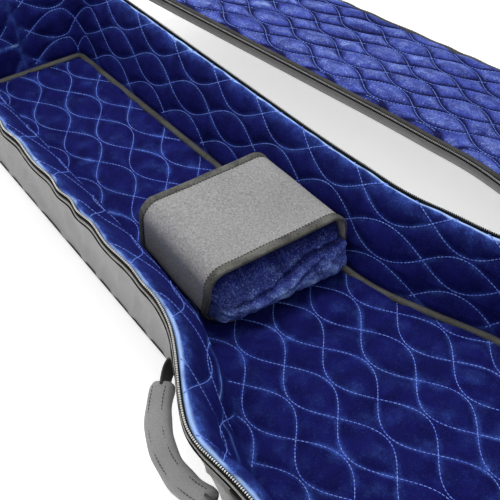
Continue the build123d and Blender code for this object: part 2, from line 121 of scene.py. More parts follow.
# --- outline
def trace_outline():
    """Dense points and inward normals round the outline, clockwise from the head's middle."""
    far = [np.array(c) for c in FAR_CORNERS]
    corners = far + [c * (1, -1, 1) for c in reversed(far)]
    head, inward = np.array((HEAD_X, 0.0)), np.array((1.0, 0.0))
    points, normals = [head], [inward]

    def straight(end, normal, least):
        base, line = points[-1], end - points[-1]
        count = max(least, int(np.linalg.norm(line)))
        for k in range(1, count + 1):
            points.append(base + line * k / count)
            normals.append(normal)

    for i, (x, y, radius) in enumerate(corners):
        corner = np.array((x, y))
        a = unit(corners[i - 1][:2] - corner)
        b = unit(corners[(i + 1) % len(corners)][:2] - corner)
        half = math.acos(np.clip(a @ b, -1, 1)) / 2
        start = corner + a * radius / math.tan(half)
        centre = corner + unit(a + b) * radius / math.sin(half)
        straight(start, np.array((-a[1], a[0])) if i else inward, 2)
        turn = math.pi - 2 * half
        sign = -1.0 if a[0] * b[1] - a[1] * b[0] > 0 else 1.0
        spoke = start - centre
        steps = max(3, int(turn * radius))
        for k in range(1, steps + 1):
            angle = sign * turn * k / steps
            c, s = math.cos(angle), math.sin(angle)
            arm = np.array((spoke[0] * c - spoke[1] * s, spoke[0] * s + spoke[1] * c))
            points.append(centre + arm)
            normals.append(unit(arm) * sign)
    straight(head, inward, 0)
    points, normals = np.array(points), np.array(normals)
    return distances(points), points, normals


TRACE_S, TRACE_P, TRACE_N = trace_outline()
LENGTH = TRACE_S[-1]
FAR_HALF = TRACE_S <= LENGTH / 2


def along(s):
    """Points and inward normals at distances along the outline."""
    s = np.mod(s, LENGTH)
    return between(s, TRACE_S, TRACE_P), unit(between(s, TRACE_S, TRACE_N))


def far_distance(x):
    """Distance along the outline of the point with this X on the far side."""
    return float(np.interp(x, TRACE_P[FAR_HALF, 0], TRACE_S[FAR_HALF]))


def half_width(x, inset):
    """Half width of the inset outline at X."""
    edge = TRACE_P[FAR_HALF] + TRACE_N[FAR_HALF] * inset
    edge = edge[np.argsort(edge[:, 0], kind="stable")]
    return np.interp(x, edge[:, 0], edge[:, 1])


def outer_inset(z):
    """Inset of the sloping outer wall at a height."""
    return FOOT_INSET * (1 - z / ZIP_TOP)


def spaced(start, end, step):
    """Even distances from start to end."""
    return np.linspace(start, end, max(2, int((end - start) / step)))


ZIP_RUN = spaced(far_distance(HINGE_X1), LENGTH + far_distance(HINGE_X0), COARSE)
ROUND = spaced(0, LENGTH, COARSE)[:-1]


def lean(points):
    """How an unloaded bag's rim settles: the near side flares, and the far shoulder is drawn in."""
    points = np.array(points, float)
    x, y, z = points[..., 0], points[..., 1], points[..., 2]
    neck = 5.5 * smooth((x + 600) / 160) * smooth((260 - x) / 200)
    ripple = 1.5 * np.sin(x / 9.5 + 1.2 * np.sin(x / 31)) * smooth((20 - x) / 120) * smooth((x + 560) / 90)
    near = neck + 12.0 * bell(x, 128, 62) + ripple
    far = 10.0 * bell(x, 118, 50) * smooth((186 - x) / 50) - 4.0 * bell(x, -25, 70)
    pull = np.where(y < 0, near, far) * np.clip(z / ZIP_TOP, 0, 1) ** 1.7
    points[..., 1] = y - pull * smooth((np.abs(y) - 50) / 70)
    return points


# --- meshes
def add_object(name, data):
    """New object in the scene."""
    obj = bpy.data.objects.new(name, data)
    bpy.context.scene.collection.objects.link(obj)
    return obj


def add_mesh(name, points, faces, material, crease=50.0):
    """New object from points in mm."""
    mesh = bpy.data.meshes.new(name)
    mesh.from_pydata((np.asarray(points, float) * MM).tolist(), [], faces)
    mesh.validate()
    mesh.polygons.foreach_set("use_smooth", [True] * len(mesh.polygons))
    mesh.set_sharp_from_angle(angle=math.radians(crease))
    mesh.materials.append(material)
    return add_object(name, mesh)


def paint_light_shade(obj, values):
    """Painted light and shade on the velvet, point by point: 0 neutral, 1 and over a painted highlight, -1
    painted shade.
    """
    layer = obj.data.attributes.new("painted_light", "FLOAT", "POINT")
    full = np.zeros(len(obj.data.vertices), np.float32)
    full[: values.size] = values.ravel()
    layer.data.foreach_set("value", full)


def grid_faces(rows, cols, wrap_rows=False, wrap_cols=False, flip=False, caps=False):
    """Quads of a grid of points, numbered row by row, and one face over each end if it has caps."""
    r = np.arange(rows if wrap_rows else rows - 1)
    c = np.arange(cols if wrap_cols else cols - 1)
    r, c = [a.ravel() for a in np.meshgrid(r, c, indexing="ij")]
    r1, c1 = (r + 1) % rows, (c + 1) % cols
    quads = [r * cols + c, r1 * cols + c, r1 * cols + c1, r * cols + c1]
    if flip:
        quads.reverse()
    faces = np.stack(quads, -1).tolist()
    if caps:
        ends = [list(reversed(range(cols))), list(range((rows - 1) * cols, rows * cols))]
        faces += [end[::-1] for end in ends] if flip else ends
    return faces


def border(grid):
    """Numbers round the edge of a grid of numbers."""
    return np.concatenate([grid[:, 0], grid[-1, 1:], grid[-2::-1, -1], grid[0, -2:0:-1]])


def welded(obj, distance=0.001):
    """Join a mesh's doubled points."""
    work = bmesh.new()
    work.from_mesh(obj.data)
    bmesh.ops.remove_doubles(work, verts=work.verts, dist=distance * MM)
    bmesh.ops.recalc_face_normals(work, faces=work.faces)
    work.to_mesh(obj.data)
    work.free()
    obj.data.polygons.foreach_set("use_smooth", [True] * len(obj.data.polygons))
    return obj


def joined(name, objects):
    """Several meshes as one object."""
    points, faces = [], []
    for obj in objects:
        start = len(points)
        points += [tuple(v.co / MM) for v in obj.data.vertices]
        faces += [[i + start for i in p.vertices] for p in obj.data.polygons]
    material = objects[0].data.materials[0]
    for obj in objects:
        bpy.data.objects.remove(obj)
    return add_mesh(name, points, faces, material)


def place(obj, body, slot, *replaced, pad=None):
    """Say what a piece rides on and the CAD nodes that it stands for; the finish that it is given is not
    used.
    """
    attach(obj, body)
    if replaced:
        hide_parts(*replaced)


def ring_points(s, inset, z):
    """Points of a profile at distances along the outline, one row of the profile each."""
    p, n = along(s)
    shape = (len(s), np.shape(inset)[-1])
    inset, z = [np.broadcast_to(np.asarray(a, float), shape)[..., None] for a in (inset, z)]
    return np.concatenate([p[:, None, :] + n[:, None, :] * inset, z], -1)


def sweep(name, s, inset, z, material, closed=True, move=lean, crease=50.0):
    """Sweep a closed profile along the outline. The profile runs from outside, over, to inside."""
    points = move(ring_points(s, inset, z))
    rows, cols = points.shape[:2]
    faces = grid_faces(rows, cols, wrap_rows=closed, wrap_cols=True, flip=True, caps=not closed)
    return add_mesh(name, points.reshape(-1, 3), faces, material, crease)


def piped(name, inset, z, radius, material, move=lean):
    """Round piping all along the outline."""
    angle = np.linspace(0, 2 * np.pi, 9)[:-1]
    return sweep(name, ROUND, inset - radius * np.cos(angle), z + radius * np.sin(angle), material, move=move)


def bars(centres, axis, side, up, half, sides=6):
    """Many small rounded bars as points and faces."""
    angle = 2 * np.pi * np.arange(sides) / sides
    ends = ((-1, 0.5), (-0.7, 1), (0.7, 1), (1, 0.5))
    template = np.array([(a, r * c, r * t) for a, r in ends for c, t in zip(np.cos(angle), np.sin(angle))])
    points = centres[:, None, :]
    for k, direction in enumerate((axis, side, up)):
        points = points + template[None, :, k : k + 1] * half[k] * direction[:, None, :]
    one = grid_faces(len(ends), sides, wrap_cols=True, flip=True, caps=True)
    count = len(template)
    faces = [[v + count * i for v in face] for i in range(len(centres)) for face in one]
    return points.reshape(-1, 3), faces


def coil(inset, z, name, material, move, reach):
    """Zip coil: one rounded tooth after another along the outline."""
    s = np.arange(ZIP_RUN[0], ZIP_RUN[-1], TOOTH_PITCH)
    p, n = along(s)
    level = np.full(len(s), z)
    centres = move(np.column_stack([p + n * inset, level]))
    ahead = move(np.column_stack([p + n * (inset + 1), level]))
    axis = unit(ahead - centres)
    up = np.cross(axis, unit(np.roll(centres, -1, 0) - centres))
    up[-1] = up[-2]
    up = unit(up)
    points, faces = bars(centres, axis, np.cross(up, axis), up, (reach, TOOTH_HALF_WIDTH, TOOTH_HALF_HEIGHT))
    return add_mesh(name, points, faces, material)


class Thread:
    """Rows of stitches that become one mesh."""

    def __init__(self, length=3.4, gap=1.0, radius=0.56):
        self.length, self.gap, self.radius = length, gap, radius
        self.rows = []

    def row(self, points, normals):
        """Add a row of stitches along a line on a surface, with its normals or one for them all."""
        if len(points) < 3:
            return
        run = distances(points)
        pitch = self.length + self.gap
        mids = np.arange(pitch / 2, run[-1] - pitch / 2, pitch)
        if len(mids) == 0:
            return
        ends = [between(mids + offset, run, points) for offset in (self.length / 2, -self.length / 2)]
        axis = unit(ends[0] - ends[1])
        up = unit(between(mids, run, np.broadcast_to(normals, points.shape)))
        self.rows.append((between(mids, run, points), axis, unit(np.cross(up, axis)), up))

    def build(self, name, material, move=None):
        """One mesh of all the stitches."""
        parts = [np.concatenate(p) for p in zip(*self.rows)]
        points, faces = bars(*parts, (self.length / 2, self.radius, self.radius * 0.8), sides=5)
        if move is not None:
            points = move(points)
        return add_mesh(name, points, faces, material, crease=80)


def slab(name, xs, ys, top, bottom, material, move, flip=False):
    """Closed slab: a grid of points at heights top, with straight sides down to a flat underside."""
    rows, cols = xs.shape
    upper = np.stack([xs, ys, top], -1).reshape(-1, 3)
    ends = np.stack([xs[:, [0, -1]], ys[:, [0, -1]], np.full((rows, 2), float(bottom))], -1)
    points = move(np.concatenate([upper, ends.reshape(-1, 3)]))
    base = rows * cols
    faces = grid_faces(rows, cols)
    for i in range(rows - 1):
        a, b, c, d = range(base + 2 * i, base + 2 * i + 4)
        faces.append([a, b, d, c])
        faces.append([i * cols, a, c, (i + 1) * cols])
        faces.append([(i + 1) * cols - 1, (i + 2) * cols - 1, d, b])
    faces.append([base] + list(range(cols)) + [base + 1])
    last = base + 2 * rows - 1
    faces.append([last] + list(reversed(range(base - cols, base))) + [last - 1])
    if flip:
        faces = [f[::-1] for f in faces]
    return add_mesh(name, points, faces, material, crease=70)


def plan_grid(inset, step, x0=HEAD_X):
    """Grid of X and Y over the inset outline, and each point's distance in from its edge."""
    x0, x1 = max(x0, HEAD_X + inset), TAIL_X - inset
    margin, widest = 24.0, 400
    ease = margin * (1 - np.cos(np.linspace(0, np.pi / 2, 14)))
    middle = spaced(x0 + margin, x1 - margin, step)
    x = np.concatenate([x0 + ease[:-1], middle, (x1 - ease[:-1])[::-1]])
    v = np.linspace(-1, 1, int(widest / step))
    xs = np.repeat(x[:, None], len(v), 1)
    ys = half_width(x, inset)[:, None] * v[None, :]
    tree = kdtree.KDTree(len(TRACE_P))
    for i, p in enumerate(TRACE_P):
        tree.insert((p[0], p[1], 0), i)
    tree.balance()
    flat = zip(xs.ravel(), ys.ravel())
    distance = np.array([tree.find((a, b, 0))[2] for a, b in flat]).reshape(xs.shape)
    return xs, ys, np.maximum(distance - inset, 0)


# --- quilting
# Height of each padding and width of its stitched valleys, and how far apart its lines are sampled.
WALL_PUFF, FLOOR_PUFF, LID_PUFF = (4.2, 7.0), (4.0, 7.0), (5.6, 8.0)
LINE_STEP = 2.0


class Quilt:
    """Ogee quilting: pairs of waves that cross at even spaces in each row."""

    def __init__(self, u0, v0, pitch_u, pitch_v, swing=0.47):
        self.u0, self.v0 = u0, v0
        self.pitch_u, self.pitch_v = pitch_u, pitch_v
        self.swing = swing * pitch_v

    def wave(self, u):
        """How far each line swings from its row at u."""
        return self.swing * np.sin(np.pi * (u - self.u0) / self.pitch_u)

    def height(self, u, v, high, width):
        """Height of the padding, nought on the stitched lines."""
        slope = self.swing * np.pi / self.pitch_u * np.cos(np.pi * (u - self.u0) / self.pitch_u)
        nearest = np.full(np.shape(u), 1e9)
        for sign in (-1, 1):
            off = (v - self.v0 - sign * self.wave(u)) / self.pitch_v
            gap = np.abs(off - np.round(off)) * self.pitch_v / np.sqrt(1 + slope**2)
            nearest = np.minimum(nearest, gap)
        return high * (1 - np.exp(-((nearest / width) ** 1.5)))

    def lines(self, u, v_low, v_high):
        """V along each stitched line that comes between two levels."""
        first = math.floor((v_low - self.v0) / self.pitch_v) - 1
        last = math.ceil((v_high - self.v0) / self.pitch_v) + 1
        for n in range(first, last + 1):
            for sign in (-1, 1):
                yield self.v0 + n * self.pitch_v + sign * self.wave(u)


def runs(mask):
    """Slices of the unbroken runs where mask is true."""
    edges = np.flatnonzero(np.diff(np.concatenate([[0], mask.astype(int), [0]])))
    return [slice(a, b) for a, b in zip(edges[::2], edges[1::2]) if b - a > 4]


# --- materials
class Nodes:
    """Short hand for building one material's node tree."""

    def __init__(self, name):
        self.material = bpy.data.materials.new(name)
        self.material.use_nodes = True
        self.tree = self.material.node_tree
        self.position = self.make("TexCoord").outputs["Object"]

    def feed(self, socket, value):
        """Link a socket to another, or set its value."""
        if hasattr(value, "links"):
            self.tree.links.new(value, socket)
        else:
            socket.default_value = value

    def make(self, kind, **sockets):
        """New node with its sockets fed by name, with underscores for spaces."""
        node = self.tree.nodes.new("ShaderNode" + kind)
        for name, value in sockets.items():
            self.feed(node.inputs[name.replace("_", " ")], value)
        return node

    def set(self, **sockets):
        """Feed the shader's sockets by name."""
        for name, value in sockets.items():
            self.feed(self.tree.nodes["Principled BSDF"].inputs[name.replace("_", " ")], value)

    def noise(self, scale, detail=2.0, rough=0.6, stretch=(1, 1, 1)):
        """Noise in object coordinates, scaled on each axis."""
        vector = self.make("Mapping", Vector=self.position, Scale=stretch).outputs["Vector"]
        node = self.make("TexNoise", Vector=vector, Scale=scale, Detail=detail, Roughness=rough)
        return node.outputs["Fac"]

    def wave(self, scale, direction):
        """Parallel ribs."""
        node = self.make("TexWave", Vector=self.position, Scale=scale)
        node.bands_direction = direction
        return node.outputs["Fac"]

    def ramp(self, value, *stops):
        """Colours at two places along a value."""
        node = self.make("ValToRGB", Fac=value)
        for element, (at, colour) in zip(node.color_ramp.elements, stops):
            element.position = at
            element.color = (*colour, 1)
        return node.outputs["Color"]

    def mix(self, factor, a, b, blend="MIX"):
        """Two colours mixed."""
        node = self.make("Mix")
        node.data_type, node.blend_type = "RGBA", blend
        for value, socket in ((factor, 0), (a, 6), (b, 7)):
            self.feed(node.inputs[socket], (*value, 1) if isinstance(value, tuple) else value)
        return node.outputs[2]

    def math(self, operation, a, b):
        """One sum on two values."""
        node = self.make("Math")
        node.operation = operation
        for socket, value in zip(node.inputs, (a, b)):
            self.feed(socket, value)
        return node.outputs[0]

    def add(self, a, b):
        """Sum of two values."""
        return self.math("ADD", a, b)

    def times(self, a, b):
        """Product of two values."""
        return self.math("MULTIPLY", a, b)

    def bump(self, height, strength, distance):
        """Relief, with its depth in metres."""
        node = self.make("Bump", Height=height, Strength=strength, Distance=distance)
        self.set(Normal=node.outputs["Normal"])

    def roughness(self, value, low, high):
        """Roughness between two limits."""
        self.set(Roughness=self.make("MapRange", Value=value, To_Min=low, To_Max=high).outputs["Result"])


# Colours of the painted glint and the painted shade on the velvet.
GLINT, SHADOW = (0.42, 0.62, 1.0), (0.003, 0.003, 0.03)


def grey(value):
    """A grey colour."""
    return (value, value, value)


def velvet(name, dark, mid, highlight, sheen, tint, speckle):
    """Crushed velvet: dark base colour with random tone, a painted highlight where the painted_light value is
    above 0, a painted glint past 0.9, painted shade below 0, and flecks of painted highlight.
    """
    n = Nodes(name)
    flecks = n.noise(520, 4, 0.8)
    painted_light = n.make("Attribute")
    painted_light.attribute_name = "painted_light"
    value = painted_light.outputs["Fac"]
    base = n.ramp(n.noise(38, 4, 0.7), (0.35, dark), (0.75, mid))
    # Flecks and patches of painted highlight; the speckle amount sets how many flecks show everywhere.
    spots = n.ramp(flecks, (0.50, grey(0)), (0.70, grey(1)))
    patches = n.ramp(n.noise(70, 3, 0.7), (0.40, grey(0.25)), (0.66, grey(1)))
    # Painted highlight where the painted_light value is above 0.
    raised = n.times(n.math("MAXIMUM", value, 0.0), patches)
    edge = n.times(raised, n.add(n.times(spots, 0.65), 0.35))
    amount = n.math("MINIMUM", n.add(n.times(n.times(spots, patches), speckle), edge), 1.0)
    lit = n.mix(amount, base, highlight)
    # Painted glint where the value goes past 0.9.
    over = n.math("MAXIMUM", n.math("SUBTRACT", value, 0.9), 0.0)
    lit = n.mix(n.math("MINIMUM", n.times(over, 1.1), 0.8), lit, GLINT)
    # Painted shade where the value is below 0.
    under = n.math("MAXIMUM", n.times(value, -1.0), 0.0)
    n.set(Base_Color=n.mix(n.math("MINIMUM", under, 0.9), lit, SHADOW))
    n.roughness(flecks, 0.75, 0.95)
    n.set(Sheen_Weight=sheen, Sheen_Roughness=0.28, Sheen_Tint=(*tint, 1), Specular_IOR_Level=0.05)
    n.bump(n.add(flecks, n.noise(1500, 1, 0.5)), 0.35, 0.0006)
    return n.material


def cloth(name, dark, light, scale, stretch, rough, weave, depth=0.0003):
    """Woven cloth: melange threads in two directions, with a fine weave in relief."""
    n = Nodes(name)
    one = n.noise(scale, 4, 0.7, (1, stretch, 1))
    two = n.noise(scale * 0.9, 4, 0.7, (stretch, 1, 1))
    threads = n.times(n.add(one, two), 0.5)
    melange = n.ramp(threads, (0.38, dark), (0.62, light))
    shade = n.ramp(n.noise(9, 2, 0.5), (0.3, grey(0.86)), (0.7, grey(1.06)))
    n.set(Base_Color=n.mix(1.0, melange, shade, "MULTIPLY"))
    n.roughness(threads, *rough)
    n.set(Sheen_Weight=0.1, Sheen_Roughness=0.5, Specular_IOR_Level=0.25)
    n.bump(n.add(n.add(n.wave(weave, "X"), n.wave(weave, "Y")), threads), 0.5, depth)
    return n.material


def ribbed(name, dark, light, rough, scale=1200.0, direction="Z", gloss=0.35, sheen=0.08):
    """Narrow woven tape: fine ribs and a slight gloss."""
    n = Nodes(name)
    grain = n.noise(500, 3, 0.6)
    mixed = n.times(n.add(grain, n.noise(40, 2, 0.5)), 0.5)
    n.set(Base_Color=n.ramp(mixed, (0.38, dark), (0.62, light)))
    n.roughness(grain, rough, rough + 0.15)
    n.set(Specular_IOR_Level=gloss, Sheen_Weight=sheen)
    n.bump(n.add(n.wave(scale, direction), grain), 0.4, 0.0003)
    return n.material


def solid(name, dark, light, rough, metallic, scale):
    """Moulded or cast surface with faint mottling and wear."""
    n = Nodes(name)
    grain = n.noise(scale, 3, 0.6)
    n.set(Base_Color=n.ramp(grain, (0.35, dark), (0.7, light)), Metallic=metallic)
    n.roughness(grain, rough, rough + 0.18)
    n.bump(grain, 0.15, 0.0002)
    return n.material


# The third colour of each velvet is its painted highlight.
NAVY, BLUE, VELVET_HIGHLIGHT = (0.004, 0.004, 0.060), (0.009, 0.010, 0.125), (0.12, 0.27, 1.0)
# The lid's velvet is the tray's cloth, given lighter colours and far more flecks as painted light, where its
# slope catches the lamps.
LID_DARK, LID_MID, LID_HIGHLIGHT = (0.012, 0.016, 0.15), (0.05, 0.075, 0.42), (0.34, 0.46, 1.0)
PILLOW_DARK, PILLOW_MID, PILLOW_HIGHLIGHT = (0.005, 0.006, 0.075), (0.020, 0.030, 0.22), (0.30, 0.44, 1.0)
SOFT_BLUE = (0.20, 0.34, 1.0)
M_VELVET = velvet("velvet_navy", NAVY, BLUE, VELVET_HIGHLIGHT, 0.10, (0.08, 0.16, 1.0), 0.10)
M_LID_VELVET_LIT = velvet("velvet_lid_lit", LID_DARK, LID_MID, LID_HIGHLIGHT, 0.30, SOFT_BLUE, 0.85)
M_PILLOW = velvet("velvet_pillow", PILLOW_DARK, PILLOW_MID, PILLOW_HIGHLIGHT, 0.25, SOFT_BLUE, 0.8)
M_OUTER = cloth("outer_grey", (0.225, 0.22, 0.222), (0.315, 0.31, 0.312), 900, 0.6, (0.5, 0.7), 800)
M_BAND = cloth("band_grey", (0.21, 0.205, 0.208), (0.47, 0.465, 0.468), 620, 0.5, (0.7, 0.9), 700, 0.0004)
M_FACING = cloth("facing_grey", (0.24, 0.235, 0.22), (0.40, 0.395, 0.37), 600, 0.4, (0.6, 0.8), 900)
M_BINDING = ribbed("binding_dark", (0.022, 0.021, 0.020), (0.055, 0.054, 0.050), 0.55, gloss=0.2, sheen=0.03)
M_BAND_BINDING = ribbed("binding_band", (0.035, 0.035, 0.032), (0.15, 0.15, 0.138), 0.6, 700, "Y", 0.2, 0.05)
M_SEAM_TAPE = ribbed("seam_tape", (0.030, 0.030, 0.026), (0.075, 0.075, 0.066), 0.45)
M_BLACK = ribbed("black_tape", grey(0.003), grey(0.012), 0.8, gloss=0.08, sheen=0.0)
M_WEBBING = ribbed("webbing_black", grey(0.010), (0.035, 0.035, 0.036), 0.6, 700, "X")
M_TEETH = solid("zip_coil", (0.62, 0.62, 0.59), (0.90, 0.90, 0.87), 0.25, 0.1, 500)
M_LID_TEETH = solid("zip_coil_lid", grey(0.32), grey(0.62), 0.22, 0.2, 500)
M_METAL = solid("slider_metal", (0.10, 0.10, 0.105), (0.22, 0.22, 0.23), 0.3, 0.9, 200)
M_RUBBER = solid("pull_rubber", (0.012, 0.012, 0.013), (0.03, 0.03, 0.032), 0.5, 0.0, 150)
M_THREAD = solid("thread_blue", (0.06, 0.13, 0.75), (0.26, 0.40, 1.0), 0.5, 0.0, 260)
M_DARK_THREAD = solid("thread_black", grey(0.004), grey(0.02), 0.6, 0.0, 900)

# --- wall shape: insets and heights of the lining's face, from the rim down
PROFILE_STEPS = 48
FAR_PROFILE = (
    (6.6, 118.6), (6.7, 121.2), (8.8, 122.9), (13.2, 120.3),
    (20.6, 106.0), (34.0, 64.0), (44.0, 31.0), (49.0, 21.6),
)
NEAR_PROFILE = (
    (6.6, 118.6), (6.7, 121.2), (9.0, 123.0), (14.5, 120.2), (35.0, 98.0),
    (50.0, 77.0), (55.5, 63.0), (58.0, 44.0), (59.5, 21.6),
)


def resampled(profile):
    """Profile rounded and divided evenly, with its length."""
    points = rounded(np.array(profile), 3)
    run = distances(points)
    return between(np.linspace(0, run[-1], PROFILE_STEPS), run, points), run[-1]


FAR_WALL, FAR_DEPTH = resampled(FAR_PROFILE)
NEAR_WALL, NEAR_DEPTH = resampled(NEAR_PROFILE)


def slack(x):
    """How far the near wall has slumped at X, 0 to 1: all along the neck, but not at the body."""
    return smooth((110 - x) / 220) * smooth((x + 650) / 80)


def slump(s):
    """Share of the near wall's slumped profile at a distance along the outline."""
    s = np.mod(s, LENGTH)
    return np.where(s > LENGTH / 2, slack(along(s)[0][:, 0]), 0.0)


def wall_profile(s):
    """Insets, heights and depths of the lining's face at distances along the outline."""
    share = slump(s)[:, None]
    inset, z = [FAR_WALL[None, :, k] * (1 - share) + NEAR_WALL[None, :, k] * share for k in (0, 1)]
    depth = (FAR_DEPTH * (1 - share) + NEAR_DEPTH * share) * np.linspace(0, 1, PROFILE_STEPS)[None, :]
    return inset, z, depth


def wall_normal(inset, z):
    """Unit slope of the profile, turned to face inwards."""
    di, dz = np.gradient(inset, axis=1), np.gradient(z, axis=1)
    size = np.maximum(np.hypot(di, dz), 1e-9)
    return -dz / size, di / size


HEAD_TO = far_distance(0.0)
NEAR_QUILT = Quilt(HEAD_TO - 348.0, 27.0, 86.0, 62.0, 0.56)
FAR_QUILT = Quilt(HEAD_TO - 44.0, 19.5, 89.0, 42.5, 0.46)
# Where the painted highlights on the lining lie: this far down from its top edge, and this share of the way
# down the near wall, at its crease.
BRIM_DEPTH = 4.5  # how far down the lining its lit brim comes
FOLD_SHARE = 0.60  # how far down the near wall it folds


def wall_quilt(s, depth, high, width):
    """Height of the padding on the walls."""
    s = np.mod(s, LENGTH)[:, None] + 0 * depth
    far = FAR_QUILT.height(s, depth, high, width)
    near = NEAR_QUILT.height(LENGTH - s, depth, high, width)
    ends = np.minimum(np.minimum(s, LENGTH - s), np.abs(s - LENGTH / 2))
    return np.where(s > LENGTH / 2, near, far) * (1 - np.exp(-ends / width))


def build_wall_lining():
    """Quilted velvet on the tray's walls."""
    s = spaced(0, LENGTH, FINE)[:-1]
    near = (s > LENGTH / 2)[:, None]
    inset, z, depth = wall_profile(s)
    ni, nz = wall_normal(inset, z)
    raised = wall_quilt(s, depth, *WALL_PUFF) * (1 - 0.62 * slump(s)[:, None])
    raised = raised * smooth(depth / 12) * smooth((depth[:, -1:] - depth) / 8)
    spots = ring_points(s, inset, z)
    raised = raised + 0.7 * wobble(spots, 60, 3) * smooth(depth / 20)
    back = ((-1, 3, 0.4), (24, 6, 4), (8, 5, 4), (0, 0.6, 1.5))  # face column, how far behind and below it
    inset_all = np.column_stack([inset + ni * raised] + [inset[:, k] - behind for k, behind, _ in back])
    z_all = np.column_stack([z + nz * raised] + [z[:, k] - below for k, _, below in back])
    lining = sweep("wall_lining", s, inset_all, z_all, M_VELVET, crease=70)

    # Painted light on the lining: a painted highlight along the top edge under the zip, a painted highlight
    # along the near wall's crease, and painted sheen along the stitched lines, all broken up at random.
    seams = 1 - wall_quilt(s, depth, 1.0, 5.0)
    mottle = 0.75 + 0.4 * wobble(spots, 34, 6)
    brim = np.exp(-np.maximum(depth - BRIM_DEPTH, 0) / 1.2) * (0.85 + 0.25 * wobble(spots, 13, 8))
    top_highlight = np.exp(-np.maximum(depth - 5, 0) / 7.0) * (0.3 + 0.5 * mottle + 0.5 * bell(spots[..., 0], 90, 90))
    fold_highlight = near * bell(depth, NEAR_DEPTH * FOLD_SHARE, 2.6) * (0.9 + 0.3 * mottle)
    painted_light = 1.6 * (1 - 0.3 * near) * brim + top_highlight + fold_highlight + 0.55 * seams**3 * mottle
    paint_light_shade(lining, np.pad(painted_light, ((0, 0), (0, len(back)))))
    place(lining, "base", "velvet", "side_lining", pad=0.6)


def build_outer_wall():
    """Outer wall, with its pleats where the near side hangs slack."""
    low, high = 0.9, 115.6
    x = along(ROUND)[0][:, 0]
    level = np.linspace(0, 1, 34)
    height = low + (high - low) * level
    spots = ring_points(ROUND, outer_inset(height), height)
    tension = smooth((60 - x) / 200)[:, None] * (ROUND > LENGTH / 2)[:, None] * 0.8 + 0.35
    lanes = (LENGTH - ROUND)[:, None] - 0.75 * height[None, :]
    ridges = np.sin(2 * np.pi * lanes / 43 + 1.8 * wobble(spots, 180, 11))
    folds = (np.exp(3.2 * (ridges - 1)) * 2.2 - 0.6) * (0.75 + 0.45 * wobble(spots, 110, 12))
    pucker = np.sin(2 * np.pi * lanes / 9.5 + 2 * wobble(spots, 70, 13)) * bell(level, 1, 0.10)[None, :]
    arch = np.sin(np.pi * level)[None, :]
    bulge = 1.8 * arch + tension * folds * np.sin(np.pi * np.clip(level * 0.9 + 0.1, 0, 1))[None, :] * 2.4
    bulge = bulge + 0.35 * pucker + 0.7 * wobble(spots, 120, 14) * arch
    outer = outer_inset(height)[None, :] - bulge
    inset = np.hstack([outer, np.tile((4.6, 14.0, 25.0), (len(ROUND), 1))])
    z = np.concatenate([height, (115.8, 60.0, 1.6)])
    wall = sweep("outer_wall", ROUND, inset, z, M_OUTER, crease=60)
    strips = [n for n in nodes if n.startswith("side_foam_")]
    place(wall, "base", "outer_fabric", "side_outer_gusset", "back_foam", *strips, pad=0.8)


def build_rim():
    """Piping, facing strip, zip tape and coil round the tray's rim, and the tape over the floor's seam."""
    place(piped("wall_seam_piping", 1.6, 115.9, 1.1, M_BLACK), "base", "binding", "wall_piping")
    place(piped("floor_edge_piping", 21.2, 2.1, 1.9, M_BINDING), "base", "binding")

    p = along(ROUND)[0]
    facing_i = np.array([2.2, 1.7, 1.5, 1.7, 2.2, 3.0, 6.0, 9.0, 6.0, 4.4])
    facing_z = np.array([116.4, 117.0, 118.0, 119.2, 120.0, 120.3, 119.9, 118.6, 118.0, 116.4])
    ripple = 0.35 * wobble(on_floor(p[:, 0], p[:, 1]), 26, 5)[:, None] * bell(facing_z, 118.5, 2)
    facing = sweep("zip_facing_strip", ROUND, facing_i + ripple, facing_z, M_FACING)
    place(facing, "base", "facing", "zip_facing")

    tape_i = (2.6, 2.6, 3.1, 5.4, 6.3, 6.4, 5.0)
    tape_z = (120.1, 122.8, 123.9, 124.0, 123.4, 119.8, 119.7)
    tape = sweep("zip_tape_tray", ZIP_RUN, tape_i, tape_z, M_BLACK, closed=False)
    place(tape, "base", "zip_tape", "zip_tape_base")
    teeth = coil(4.5, 124.9, "zip_coil_tray", M_TEETH, lean, 0.95)
    place(teeth, "base", "zip_teeth", "zip_teeth_base")

    foot = wall_profile(ROUND)[0][:, -1:]
    arch = np.linspace(np.pi, 0, 9)
    tuck = np.where(ROUND > LENGTH / 2, 10.0, 0.0)[:, None]
    tuck = tuck * smooth((p[:, :1] + 600) / 60) * smooth((460 - p[:, :1]) / 60)
    seam_i = foot + 3.4 - tuck + 4.6 * np.cos(arch)[None, :]
    seam = sweep("floor_seam_tape", ROUND, seam_i, 22.4 + 3.4 * np.sin(arch), M_SEAM_TAPE)
    place(seam, "base", "binding", "floor_seam_binding")


# --- floor: two runs of quilting that meet under the pillow
HEAD_QUILT = Quilt(-535.0, -25.5, 85.7, 48.0)
BODY_QUILT = Quilt(56.0, 2.0, 85.0, 48.0)
QUILT_CHANGE, BODY_SHEAR = -100.0, 0.08
FLOOR_TOP, FLOOR_BOTTOM, FOOT_TO_FLOOR = 20.4, 18.4, 49.0


def floor_height(x, y, high, width):
    """Height of the floor's padding, with its two runs of quilting."""
    share = smooth((x - QUILT_CHANGE + 6) / 12)
    head = HEAD_QUILT.height(x, y, high, width)
    body = BODY_QUILT.height(x - BODY_SHEAR * y, y, high, width)
    return head * (1 - share) + body * share


def floor_sway(x, y):
    """Uneven height of the floor."""
    return 0.8 * wobble(on_floor(x, y), 90, 21)


